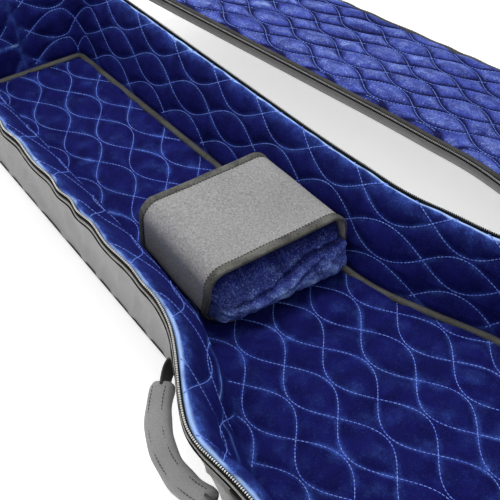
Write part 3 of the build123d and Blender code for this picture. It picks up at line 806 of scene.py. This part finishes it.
def build_floor():
    """Quilted velvet floor of the tray."""
    xs, ys, _ = plan_grid(44.0, FINE)
    spots = on_floor(xs, ys)
    top = FLOOR_TOP + floor_height(xs, ys, *FLOOR_PUFF) + floor_sway(xs, ys)
    floor = slab("floor_lining", xs, ys, top, FLOOR_BOTTOM, M_VELVET, lean)
    # Painted sheen along the stitched lines, with a faint random wobble.
    seams = 1 - floor_height(xs, ys, 1.0, 4.0)
    paint_light_shade(floor, 0.62 * seams**2 * (0.7 + 0.5 * wobble(spots, 45, 22)) + 0.12 * wobble(spots, 30, 23))
    place(floor, "base", "velvet", "back_lining", pad=0.5)


def build_stitches():
    """Thread in the floor's and the walls' quilting."""
    thread = Thread()
    head_run, body_run = (-613.0, QUILT_CHANGE - 2, 0.0), (QUILT_CHANGE + 2, 508.0, BODY_SHEAR)
    for quilt, (x0, x1, shear) in ((HEAD_QUILT, head_run), (BODY_QUILT, body_run)):
        u = np.arange(x0, x1, LINE_STEP)
        for v in quilt.lines(u, -200, 200):
            x = u + shear * v
            half = half_width(x, 0.0) - FOOT_TO_FLOOR
            inside = (v < half - 6) & (v > 6 - (half - 10.5 * slack(x)))
            line = np.column_stack([x, v, FLOOR_TOP + 0.5 + floor_sway(x, v)])
            for part in runs(inside):
                thread.row(lean(line[part]), (0.0, 0.0, 1.0))
    q = np.arange(12.0, LENGTH / 2 - 12, LINE_STEP)
    for quilt, s in ((FAR_QUILT, q), (NEAR_QUILT, LENGTH - q)):
        inset, z, depth = wall_profile(s)
        shape = (inset, z, *wall_normal(inset, z))
        p, n = along(s)
        for v in quilt.lines(q, 0, 120):
            inside = (v > 3) & (v < depth[:, -1] - 6)
            at = [np.array([np.interp(*row) for row in zip(v, depth, values)]) for values in shape]
            normal = np.column_stack([n * at[2][:, None], at[3]])
            spot = np.column_stack([p + n * at[0][:, None], at[1]])
            sway = 0.7 * wobble(spot, 60, 3) * smooth(v / 20) + 0.7
            line = lean(spot + normal * sway[:, None])
            for part in runs(inside):
                thread.row(line[part], normal[part])
    place(thread.build("lining_stitches", M_THREAD), "base", "velvet")


# --- neck pillow and the band round it
PILLOW_LOW, PILLOW_HIGH = (-173.0, -77.0, 25.6), (-33.0, 96.5, 94.5)
PILLOW_MIDDLE = 9.5
BAND_X0, BAND_X1, BINDING_WIDTH = -178.0, -28.0, 10
BAND_LOW, BAND_HIGH, BAND_RADIUS = (-78.7, 25.0), (97.7, 96.7), 19.0
BAND_INNER, BAND_OUTER, STITCHES_OUT = 0.2, 2.3, 2.6  # distances out from the pillow


def box_shell(low, high, radius, n):
    """Rounded box as a grid of points round its six faces, with faces."""
    low, high = np.array(low), np.array(high)
    t = np.linspace(-1, 1, n)
    points, faces = [], []
    a, b = [g.ravel() for g in np.meshgrid(t, t, indexing="ij")]
    for axis in range(3):
        for sign in (-1, 1):
            p = np.zeros((n * n, 3))
            p[:, axis] = sign
            p[:, (axis + 1) % 3], p[:, (axis + 2) % 3] = a, b
            faces += (np.array(grid_faces(n, n, flip=sign < 0)) + len(points) * n * n).tolist()
            points.append(p)
    spot = (low + high) / 2 + np.concatenate(points) * ((high - low) / 2)
    core = np.clip(spot, low + radius, high - radius)
    return core + unit(spot - core) * radius, faces


def build_pillow():
    """Velvet neck pillow: crowned ends, sewn corner seams and pleats pulled across the body end."""
    spot, faces = box_shell(PILLOW_LOW, PILLOW_HIGH, 15.0, 72)
    x, y, z = spot.T.copy()
    tucked = np.clip((BAND_X1 - x) / (BAND_X1 - BAND_X0), 0, 1)
    y += 6.5 * tucked**1.5 * smooth((-y - 50) / 25)
    a = (y - PILLOW_MIDDLE) / 87.0
    b = (z - 60) / 34.5
    front = smooth((x + 60) / 24)
    swell = 20.0 * np.clip(1 - a**2, 0, 1) ** 0.5 * bell(b, -0.32, 0.62)
    swell = swell + 6.0 * smooth((0.4 - b) / 0.9) * smooth((1 - np.abs(a)) / 0.12)
    swell = swell - 4.0 * smooth((b - 0.35) / 0.5)
    upper = 0.02 + 0.34 * a + 0.05 * np.sin(5 * a)
    lower = -0.36 + 0.62 * np.clip(a + 0.1, -0.6, 1.0)
    share = smooth((a + 0.9) / 0.5)
    pleats = 5.5 * bell(b, upper, 0.075) * share
    pleats += 3.5 * bell(b, lower, 0.06) * smooth((a + 0.3) / 0.4)
    pleats -= 2.6 * bell(b, upper - 0.16, 0.11) * share
    gathers = 0.9 * np.sin(26 * b + 3 * a) * bell(a, -0.86, 0.10)
    seam = 2.4 * bell(a, -0.74, 0.022) * smooth((0.8 - np.abs(b)) / 0.2)
    crush = 1.2 * wobble(spot, 17, 31) + 0.9 * wobble(spot, 8, 32)
    swell += 8.0 * smooth((a - 0.3) / 0.6) * smooth((0.7 - b) / 0.6)
    x += front * (swell - pleats + gathers - seam + crush)
    y += 3.4 * smooth((x + 27) / 5) * smooth((a - 0.75) / 0.25)
    crown = (np.clip(1 - a**2, 0, 1) * np.clip(1 - b**2, 0, 1)) ** 0.5
    x -= smooth((-x - 150) / 20) * (5 * crown + 0.8 * wobble(spot, 20, 33))
    z -= front * np.sign(b) * np.abs(a) ** 3
    pillow = add_mesh("neck_pillow_velvet", np.column_stack([x, y, z]), faces, M_PILLOW, crease=80)
    # Painted shade on the upper part of the body end, under the band's edge, and in its pleats; a painted
    # highlight on its lower part.
    dark = 0.9 * smooth((b - 0.30) / 0.5) + 0.8 * np.clip(pleats / 4, 0, 1)
    lit = smooth((0.15 - b) / 0.5) * (0.55 + 0.3 * wobble(spot, 25, 34)) + 0.25
    paint_light_shade(pillow, front * (lit - dark))
    place(welded(pillow, 0.02), "base", "velvet", "neck_pillow", pad=0.7)


def loop_points(low, high, radius, count):
    """Points round a rounded rectangle in Y and Z, with outward normals, from its lower right corner."""
    (y0, z0), (y1, z1) = low, high
    points, normals = [], []
    for y, z, start in ((y1, z0, -90), (y1, z1, 0), (y0, z1, 90), (y0, z0, 180)):
        cy = y - math.copysign(radius, y - (y0 + y1) / 2)
        cz = z - math.copysign(radius, z - (z0 + z1) / 2)
        for k in range(17):
            angle = math.radians(start + 90 * k / 16)
            arm = (math.cos(angle), math.sin(angle))
            points.append((cy + radius * arm[0], cz + radius * arm[1]))
            normals.append(arm)
    points, normals = [np.array(rows + rows[:1]) for rows in (points, normals)]
    run = distances(points)
    even = np.linspace(0, run[-1], count + 1)[:-1]
    return between(even, run, points), unit(between(even, run, normals))


def band_surface(x, out):
    """Points of the band at each X and distance out from the pillow, with normals."""
    ring, arms = loop_points(BAND_LOW, BAND_HIGH, BAND_RADIUS, 220)
    xs = np.repeat(np.asarray(x, float)[:, None], len(ring), 1)
    yz = ring[None] + arms[None] * np.asarray(out, float)[:, None, None]
    spot = np.concatenate([xs[..., None], yz], -1)
    t = (xs - BAND_X0) / (BAND_X1 - BAND_X0)
    across = (spot[..., 1] - PILLOW_MIDDLE) / 88
    top = smooth((spot[..., 2] - 80) / 16)
    side = smooth((-spot[..., 1] - 50) / 25)
    spot[..., 0] -= 13.0 * t**2 * side * smooth((82 - spot[..., 2]) / 60)
    crown = top * (1.0 * np.sin(np.pi * t) - 1.2) * np.clip(1 - across**2, 0, 1)
    spot[..., 2] += crown + top * 0.35 * wobble(spot, 70, 41)
    spot[..., 1] += side * (0.9 * np.sin(np.pi * t) + 0.5 * wobble(spot, 60, 42) + 6.5 * (1 - t) ** 1.5)
    normal = np.concatenate([0 * xs[..., None], np.broadcast_to(arms[None], yz.shape)], -1)
    return spot, normal


def shell(name, x, out_low, out_high, material, crease=50.0):
    """Closed band of cloth between two distances out from the pillow."""
    both = np.concatenate([band_surface(x, out_high)[0], band_surface(x, out_low)[0][::-1]])
    faces = grid_faces(*both.shape[:2], wrap_rows=True, wrap_cols=True, flip=True)
    return add_mesh(name, both.reshape(-1, 3), faces, material, crease)


def build_band():
    """Grey band round the pillow, its two edge bindings and their stitching."""
    x = np.linspace(BAND_X0 + 0.6, BAND_X1 - 0.6, 60)
    band = shell("neck_band_cloth", x, 0 * x + BAND_INNER, 0 * x + BAND_OUTER, M_BAND)
    place(band, "base", "band_fabric", "neck_band")
    high = 2.4 + 1.15 * np.sin(np.linspace(0, np.pi, 11)) ** 0.45
    thread = Thread(2.5, 1.5, 0.6)
    for label, edge, width in (("head", BAND_X0, BINDING_WIDTH), ("body", BAND_X1, -BINDING_WIDTH)):
        inner = edge + width
        x = np.linspace(min(edge, inner), max(edge, inner), 11)
        low = 2.28 - 2.2 * (np.abs(x - edge) < 0.7)
        binding = shell("band_edge_" + label, x, low, high, M_BAND_BINDING, crease=70)
        place(binding, "base", "binding", "band_binding_" + label)
        line = [rows[0] for rows in band_surface([inner + math.copysign(0.5, width)], [STITCHES_OUT])]
        thread.row(*[np.vstack([rows, rows[:1]]) for rows in line])
    place(thread.build("band_stitches", M_DARK_THREAD), "base", "band_fabric")


# --- side handle
HANDLE_XA, HANDLE_XB, HANDLE_Z, HANDLE_SAG = 45.0, 205.0, 97.0, math.radians(20.0)
GRIP_REACH, GRIP_END_OUT, GRIP_TOP_OUT = 69.0, 17.5, 41.0
GRIP_HALF_WIDTH, GRIP_HALF_THICKNESS = 12.2, 8.4
GRIP_ROWS, LEG_ROWS = 60, 26
# The legs' half width and thickness, where they run (along, outwards), and two distances out whose points are
# worked out but not used.
LEG_HALF, LEG_BLEND = (10.0, 1.25), (1, 12)
LEG_PATH = ((84, -1.0), (83, 4.0), (79, 9.0), (73, 14.0), (63, 20.0))
ANCHOR_X, ANCHOR_HALF = (54.0, 213.0), (17.0, 16.0)


def side_half(x):
    """Half width of the outline's straight shoulder and side lines."""
    if x < 141.6:
        return 150.0 + (x - 5.0) * (205.2 - 150.0) / (141.6 - 5.0)
    return 205.2 + (x - 141.6) * math.tan(SIDE_SLOPE)


def handle_frame():
    """Origin and axes of the side handle: along it, outwards and sagging, and across it."""
    ya, yb = side_half(HANDLE_XA), side_half(HANDLE_XB)
    turn = math.atan2(yb - ya, HANDLE_XB - HANDLE_XA)
    x = np.array((math.cos(turn), -math.sin(turn), 0.0))
    level = math.cos(HANDLE_SAG)
    y = np.array((-math.sin(turn) * level, -math.cos(turn) * level, -math.sin(HANDLE_SAG)))
    return np.array(((HANDLE_XA + HANDLE_XB) / 2, -(ya + yb) / 2, HANDLE_Z)), x, y, np.cross(x, y)


def tube(name, centre, across, lift, sizes, material, power, sides):
    """Closed tube with a soft rounded-rectangle section along a line."""
    angle = 2 * np.pi * np.arange(sides) / sides
    a, b = [np.sign(w) * np.abs(w) ** power for w in (np.cos(angle), np.sin(angle))]
    points = (
        centre[:, None, :]
        + across[:, None, :] * (a[None, :, None] * sizes[:, 0, None, None])
        + lift[:, None, :] * (b[None, :, None] * sizes[:, 1, None, None])
    )
    faces = grid_faces(len(centre), sides, wrap_cols=True, caps=True)
    return welded(add_mesh(name, points.reshape(-1, 3), faces, material))


def build_grip(origin, x, y, z):
    """The side handle's padded arched grip."""
    rise = GRIP_TOP_OUT - GRIP_END_OUT
    radius = (GRIP_REACH**2 + rise**2) / (2 * rise)
    span = math.asin(GRIP_REACH / radius)
    angle = np.linspace(-span, span, GRIP_ROWS)
    arc = np.column_stack([radius * np.sin(angle), GRIP_TOP_OUT - radius + radius * np.cos(angle)])
    centre = origin + arc[:, :1] * x + arc[:, 1:] * y
    across = np.sin(angle)[:, None] * x + np.cos(angle)[:, None] * y
    lift = np.tile(z, (GRIP_ROWS, 1))
    taper = np.clip(np.cos(angle / span * np.pi / 2) * 6, 0, 1) ** 0.35
    sizes = [GRIP_HALF_WIDTH * (0.62 + 0.38 * taper), GRIP_HALF_THICKNESS * (0.35 + 0.65 * taper)]
    sizes = np.column_stack(sizes)
    dents = 0.35 * wobble(centre, 26, 51)[:, None]
    grip = tube("side_handle_pad", centre, across, lift, sizes + dents, M_OUTER, 0.8, 28)
    place(grip, "side_handle", "outer_fabric", "side_handle_grip", pad=0.9)

    thread = Thread(2.6, 1.2, 0.45)
    for face in (-1, 1):
        for edge in (1, -1):
            line = centre + across * (edge * sizes[:, :1] * 0.52) + lift * (face * sizes[:, 1:] * 0.90)
            thread.row(line[3:-3], lift[3:-3] * face)
    place(thread.build("side_handle_stitches", M_DARK_THREAD), "side_handle", "outer_fabric")


def build_legs(origin, x, y, z):
    """Two webbing legs between the wall and the grip."""
    parts = []
    for side in (-1, 1):
        t = np.linspace(0, 1, LEG_ROWS)
        line = between(t, np.linspace(0, 1, len(LEG_PATH)), np.array(LEG_PATH) * (side, 1))
        for _ in range(6):
            line[1:-1] = (line[:-2] + 2 * line[1:-1] + line[2:]) / 4
        middle = origin + line[:, :1] * x + line[:, 1:] * y
        middle = middle + (lean(middle) - middle) * (1 - t)[:, None]
        flat = np.tile(z, (LEG_ROWS, 1))
        thick = unit(np.cross(flat, unit(np.gradient(middle, axis=0))))
        parts.append(tube("leg", middle, flat, thick, np.tile(LEG_HALF, (LEG_ROWS, 1)), M_WEBBING, 0.3, 20))
    legs = joined("side_handle_legs", parts)
    start, end = [tuple((origin + y * out) * MM) for out in LEG_BLEND]
    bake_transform(legs)
    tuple(start)
    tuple(end)
    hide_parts("side_handle_webbing")


def build_anchors():
    """Patches on the wall that hold the handle's legs, with box stitching."""
    parts, thread = [], Thread(2.4, 1.2, 0.4)
    count, rim, slip = 15, 2.4, 0.6
    grid = np.arange(count * count).reshape(count, count)
    box = grid[2:-2, 2:-2]
    for x in ANCHOR_X:
        u, v = [np.linspace(-half, half, count) for half in ANCHOR_HALF]
        round_u, round_v = [1 - np.exp(-(h + slip - np.abs(w)) / rim) for h, w in zip(ANCHOR_HALF, (u, v))]
        lift = 1.9 + 1.5 * round_u[:, None] * round_v[None, :]
        height = HANDLE_Z + v[None, :] * math.cos(math.atan(FOOT_INSET / ZIP_TOP)) + 0 * lift
        s = LENGTH - far_distance(x) + u
        face, back = [lean(ring_points(s, outer_inset(height) - out, height)) for out in (lift, -0.8)]
        points = np.concatenate([face.reshape(-1, 3), back.reshape(-1, 3)])
        faces = grid_faces(count, count)
        faces += (np.array(grid_faces(count, count, flip=True)) + grid.size).tolist()
        edge = border(grid)
        ahead = np.roll(edge, -1)
        faces += np.stack([ahead, edge, edge + grid.size, ahead + grid.size], -1).tolist()
        parts.append(welded(add_mesh("patch", points, faces, M_WEBBING), 0.02))
        line = np.append(border(box), box[0, 0])
        thread.row(face.reshape(-1, 3)[line], unit(face - back).reshape(-1, 3)[line])
    place(joined("side_handle_patches", parts), "base", "webbing", "side_handle_anchors")
    place(thread.build("side_handle_patch_stitches", M_FACING), "base", "webbing")


LOOP_OUTER, LOOP_INNER = ((-48.0, 58.0), (48.0, 100.0), 13.0), ((-33.0, 69.0), (33.0, 89.0), 6.0)
LOOP_OUT, LOOP_HALF_THICKNESS = 2.1, 1.9


def build_hang_loop():
    """Webbing loop that hangs on the head's end wall."""
    count, sides = 160, 12
    points = []
    outer, inner = [loop_points(*shape, count)[0] for shape in (LOOP_OUTER, LOOP_INNER)]
    ripple = 0.25 * np.sin(2 * np.pi * np.arange(count) / 9)
    for angle in np.linspace(0, 2 * np.pi, sides + 1)[:-1]:
        share = (1 - math.cos(angle)) / 2
        thick = LOOP_HALF_THICKNESS * math.sin(angle) * (1 - 0.25 * abs(math.cos(angle)))
        ring = outer * (1 - share) + inner * share
        points.append(np.column_stack([HEAD_X - LOOP_OUT - thick - ripple * math.sin(angle), ring]))
    points = np.stack(points, 1)
    faces = grid_faces(count, sides, wrap_rows=True, wrap_cols=True)
    loop = welded(add_mesh("hang_loop_webbing", points.reshape(-1, 3), faces, M_WEBBING))
    place(loop, "hang_loop", "webbing", "hang_loop")


# --- lid, drawn closed on the tray
def side_point(x, out, z):
    """Point at a distance out from the outline on the hinge side."""
    outward = np.array((-math.sin(SIDE_SLOPE), math.cos(SIDE_SLOPE), 0.0))
    return np.array((x, side_half(x), 0.0)) + outward * out + np.array((0, 0, z))


HINGE_POINT = side_point(HINGE_MIDDLE, HINGE_OUT, HINGE_Z)
HINGE_AXIS = np.array((math.cos(SIDE_SLOPE), math.sin(SIDE_SLOPE), 0.0))
LID_Z, LID_SEAM, LID_TOP = 127.4, 130.4, 146.5
LINING_INSET, COVER_INSET, COVER_RADIUS = 16.6, 8.2, 9
LID_QUILT = Quilt(-115.0, 91.0, 82.0, 54.0)
POCKET_Z, POCKET_DEPTH, POCKET_INSET, POCKET_X0, POCKET_RADIUS = 146.7, 6.0, 62.0, 150.0, 5


def opened(points):
    """Turn points of the closed lid to its open place."""
    arm = lean(points) - HINGE_POINT
    angle = math.radians(-LID_ANGLE)
    c, s = math.cos(angle), math.sin(angle)
    turned = arm * c + np.cross(HINGE_AXIS, arm) * s + HINGE_AXIS * (arm @ HINGE_AXIS)[..., None] * (1 - c)
    return turned + HINGE_POINT


def rolled_edge(edge, radius):
    """How far a rounded edge has dropped at a distance in from it."""
    return radius - np.sqrt(np.clip(radius**2 - (radius - np.clip(edge, 0, radius)) ** 2, 0, None))


def build_lid():
    """Padded lid: quilted velvet and its thread, and the outer cover."""
    xs, ys, edge = plan_grid(LINING_INSET, FINE)
    spots = on_floor(xs, ys)
    puff = LID_QUILT.height(xs, ys, *LID_PUFF) * (0.3 + 0.7 * smooth(edge / 26)) + 0.9 * wobble(spots, 80, 61)
    roll = np.sqrt(np.clip(1 - (1 - np.clip(edge / 7, 0, 1)) ** 2, 0, 1))
    under = LID_Z + 1.2 - (2.2 + puff) * roll
    lining = slab("lid_quilted_lining", xs, ys, under, LID_SEAM, M_LID_VELVET_LIT, opened, flip=True)
    # Painted light on the lid's lining: a painted highlight all over, broken up at random, and painted shade
    # in the stitched creases.
    seams = 1 - LID_QUILT.height(xs, ys, 1.0, 5.5)
    paint_light_shade(lining, 0.40 + 0.35 * wobble(spots, 45, 63) - 2.0 * seams**1.5)
    place(lining, "lid", "velvet", "lid_lining", "lid_foam", pad=0.7)

    thread = Thread()
    u = np.arange(HEAD_X + 20, TAIL_X - 20, LINE_STEP)
    for v in LID_QUILT.lines(u, -240, 240):
        inside = np.abs(v) < half_width(u, 24.0)
        line = np.column_stack([u, v, LID_Z - 1.35 - 0.9 * wobble(on_floor(u, v), 80, 61)])
        for part in runs(inside):
            thread.row(line[part], (0.0, 0.0, -1.0))
    place(thread.build("lid_stitches", M_THREAD, move=opened), "lid", "velvet")

    xs, ys, edge = plan_grid(COVER_INSET, 4.5)
    dimple = 0.5 * (1 + wobble(on_floor(xs, ys), 90, 62)) * smooth(edge / 20)
    top = LID_TOP - rolled_edge(edge, COVER_RADIUS) - dimple
    cover = slab("lid_cover", xs, ys, top, LID_SEAM + 0.2, M_OUTER, opened)
    place(cover, "lid", "outer_fabric", "lid_outer_cover", pad=0.8)


def build_lid_edge():
    """Edge binding and piping of the lid, and its half of the zip."""
    turn = np.linspace(0, np.pi, 9)
    strip_i = np.concatenate([13.4 - 4.2 * np.cos(turn), (17.4, 9.4)])
    strip_z = np.concatenate([LID_Z + 1.4 - 1.9 * np.sin(turn) ** 0.7, (130.3, 130.3)])
    binding = sweep("lid_edge_binding", ROUND, strip_i, strip_z, M_BINDING, move=opened)
    place(welded(binding), "lid", "binding", "lid_binding")

    tape_i = (2.5, 5.0, 8.0, 9.6, 9.6, 6.0, 2.5)
    tape_z = (129.0, 128.9, 128.3, 128.4, 130.2, 130.5, 130.2)
    tape = sweep("zip_tape_cover", ZIP_RUN, tape_i, tape_z, M_BLACK, closed=False, move=opened)
    place(welded(tape), "lid", "zip_tape", "zip_tape_lid")
    teeth = coil(4.9, 128.3, "zip_coil_cover", M_LID_TEETH, opened, 1.45)
    place(teeth, "lid", "zip_teeth", "zip_teeth_lid")
    place(welded(piped("lid_edge_piping", 8.6, 131.8, 1.4, M_BLACK, opened)), "lid", "binding")


HINGE_PATH = (
    (-4.6, 120.6), (-2.0, 121.6), (4.0, 122.0), (9.0, 123.4), (12.0, 124.9),
    (15.0, 125.4), (20.0, 124.6), (27.0, 122.9), (33.5, 121.3),
)


def build_hinge():
    """Fabric hinge between the tray's rim and the lid."""
    path = rounded(np.array(HINGE_PATH), 2)
    ahead = unit(np.gradient(path, axis=0))
    under = path - np.column_stack([-ahead[:, 1], ahead[:, 0]]) * 1.2
    section = np.concatenate([path, under[::-1]])
    xs = np.linspace(HINGE_MIDDLE - HINGE_HALF, HINGE_MIDDLE + HINGE_HALF, 48)
    points = np.array([[side_point(x, out, z) for out, z in section] for x in xs])
    faces = grid_faces(*points.shape[:2], wrap_cols=True, caps=True)
    hinge = welded(add_mesh("hinge_gusset", points.reshape(-1, 3), faces, M_BINDING))
    start, end = [side_point(HINGE_MIDDLE, HINGE_OUT + step, HINGE_Z) for step in (-HINGE_BLEND, HINGE_BLEND)]
    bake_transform(hinge)
    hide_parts("hinge_strip_base", "hinge_strip_lid")


def build_pocket():
    """Flat pocket on the lid's outside, with a seam round it."""
    xs, ys, edge = plan_grid(POCKET_INSET, 4.0, x0=POCKET_X0)
    edge = np.minimum(edge, xs - POCKET_X0)
    dimple = 0.25 * (1 + wobble(on_floor(xs, ys), 60, 71)) * smooth(edge / 15)
    top = POCKET_Z + POCKET_DEPTH - rolled_edge(edge, POCKET_RADIUS) - 0.9 * bell(edge, 9, 1.4) - dimple
    panel = slab("pocket_cloth", xs, ys, top, POCKET_Z - 0.4, M_OUTER, opened)
    place(panel, "lid", "outer_fabric", "pocket_panel", pad=0.3)


# --- CAD nodes that stay
KEPT = {
    "back_outer_panel": M_OUTER,
    "pillow_floor_patch": M_BINDING,
    "hang_loop_patch": M_WEBBING,
    "head_slider": M_METAL,
    "tail_slider": M_METAL,
    "pocket_slider": M_METAL,
    "head_pull": M_RUBBER,
    "tail_pull": M_RUBBER,
    "pocket_pull": M_RUBBER,
    "pocket_zip_tape": M_BLACK,
    "pocket_zip_teeth": M_LID_TEETH,
}


def finish_nodes():
    """Give the CAD nodes that stay their materials."""
    for name, material in KEPT.items():
        obj = nodes[name]
        if not obj.material_slots:
            obj.data.materials.append(material)
        for slot in obj.material_slots:
            slot.material = material


# --- stage, in metres
STAGE_HALF, STAGE_Z = 6.0, -0.0005
LIGHTS = (  # name, place, width, watts
    ("key", (-0.6, 0.5, 2.2), 1.2, 30.0),
    ("fill", (0.9, -1.6, 1.4), 1.8, 7.0),
    ("rim", (-1.8, -0.6, 1.2), 1.2, 9.0),
)
LIGHT_AIM = Vector((0, 0, 0.05))
CAMERA_AT, CAMERA_AIM = Vector((0.5875, -0.4775, 0.781)), Vector((-0.1125, 0.0305, 0.021))


def add_aimed(name, data, where, aim):
    """New light or camera that looks at a point."""
    obj = add_object(name, data)
    obj.location = where
    obj.rotation_euler = (aim - Vector(where)).to_track_quat("-Z", "Y").to_euler()
    return obj


def build_stage():
    """Pale floor, soft studio light and the camera."""
    mesh = bpy.data.meshes.new("stage_floor")
    corners = [(STAGE_HALF * x, STAGE_HALF * y, STAGE_Z) for x, y in ((-1, -1), (1, -1), (1, 1), (-1, 1))]
    mesh.from_pydata(corners, [], [(0, 1, 2, 3)])
    floor = add_object("stage_floor", mesh)
    n = Nodes("stage_white")
    n.set(Base_Color=n.ramp(n.noise(2, 1), (0.0, grey(0.90)), (1.0, grey(0.93))))
    n.set(Roughness=0.9, Specular_IOR_Level=0.1, Emission_Color=(1, 1, 1, 1), Emission_Strength=0.5)
    mesh.materials.append(n.material)

    world = bpy.data.worlds.new("studio")
    world.use_nodes = True
    background = world.node_tree.nodes["Background"]
    background.inputs["Color"].default_value = (1.0, 1.0, 1.0, 1)
    background.inputs["Strength"].default_value = 0.52
    bpy.context.scene.world = world
    bpy.context.scene.view_settings.view_transform = "Standard"

    for name, where, width, power in LIGHTS:
        data = bpy.data.lights.new("light_" + name, "AREA")
        data.size, data.energy = width, power
        add_aimed("light_" + name, data, where, LIGHT_AIM)

    data = bpy.data.cameras.new("camera")
    data.lens, data.sensor_width = 72.0, 36.0
    data.clip_start, data.clip_end = 0.02, 50.0
    bpy.context.scene.camera = add_aimed("camera", data, CAMERA_AT, CAMERA_AIM)


build_stage()
build_wall_lining()
build_outer_wall()
build_rim()
build_floor()
build_stitches()
build_pillow()
build_band()
build_grip(*handle_frame())
build_legs(*handle_frame())
build_anchors()
build_hang_loop()
build_lid()
build_lid_edge()
build_hinge()
build_pocket()
finish_nodes()
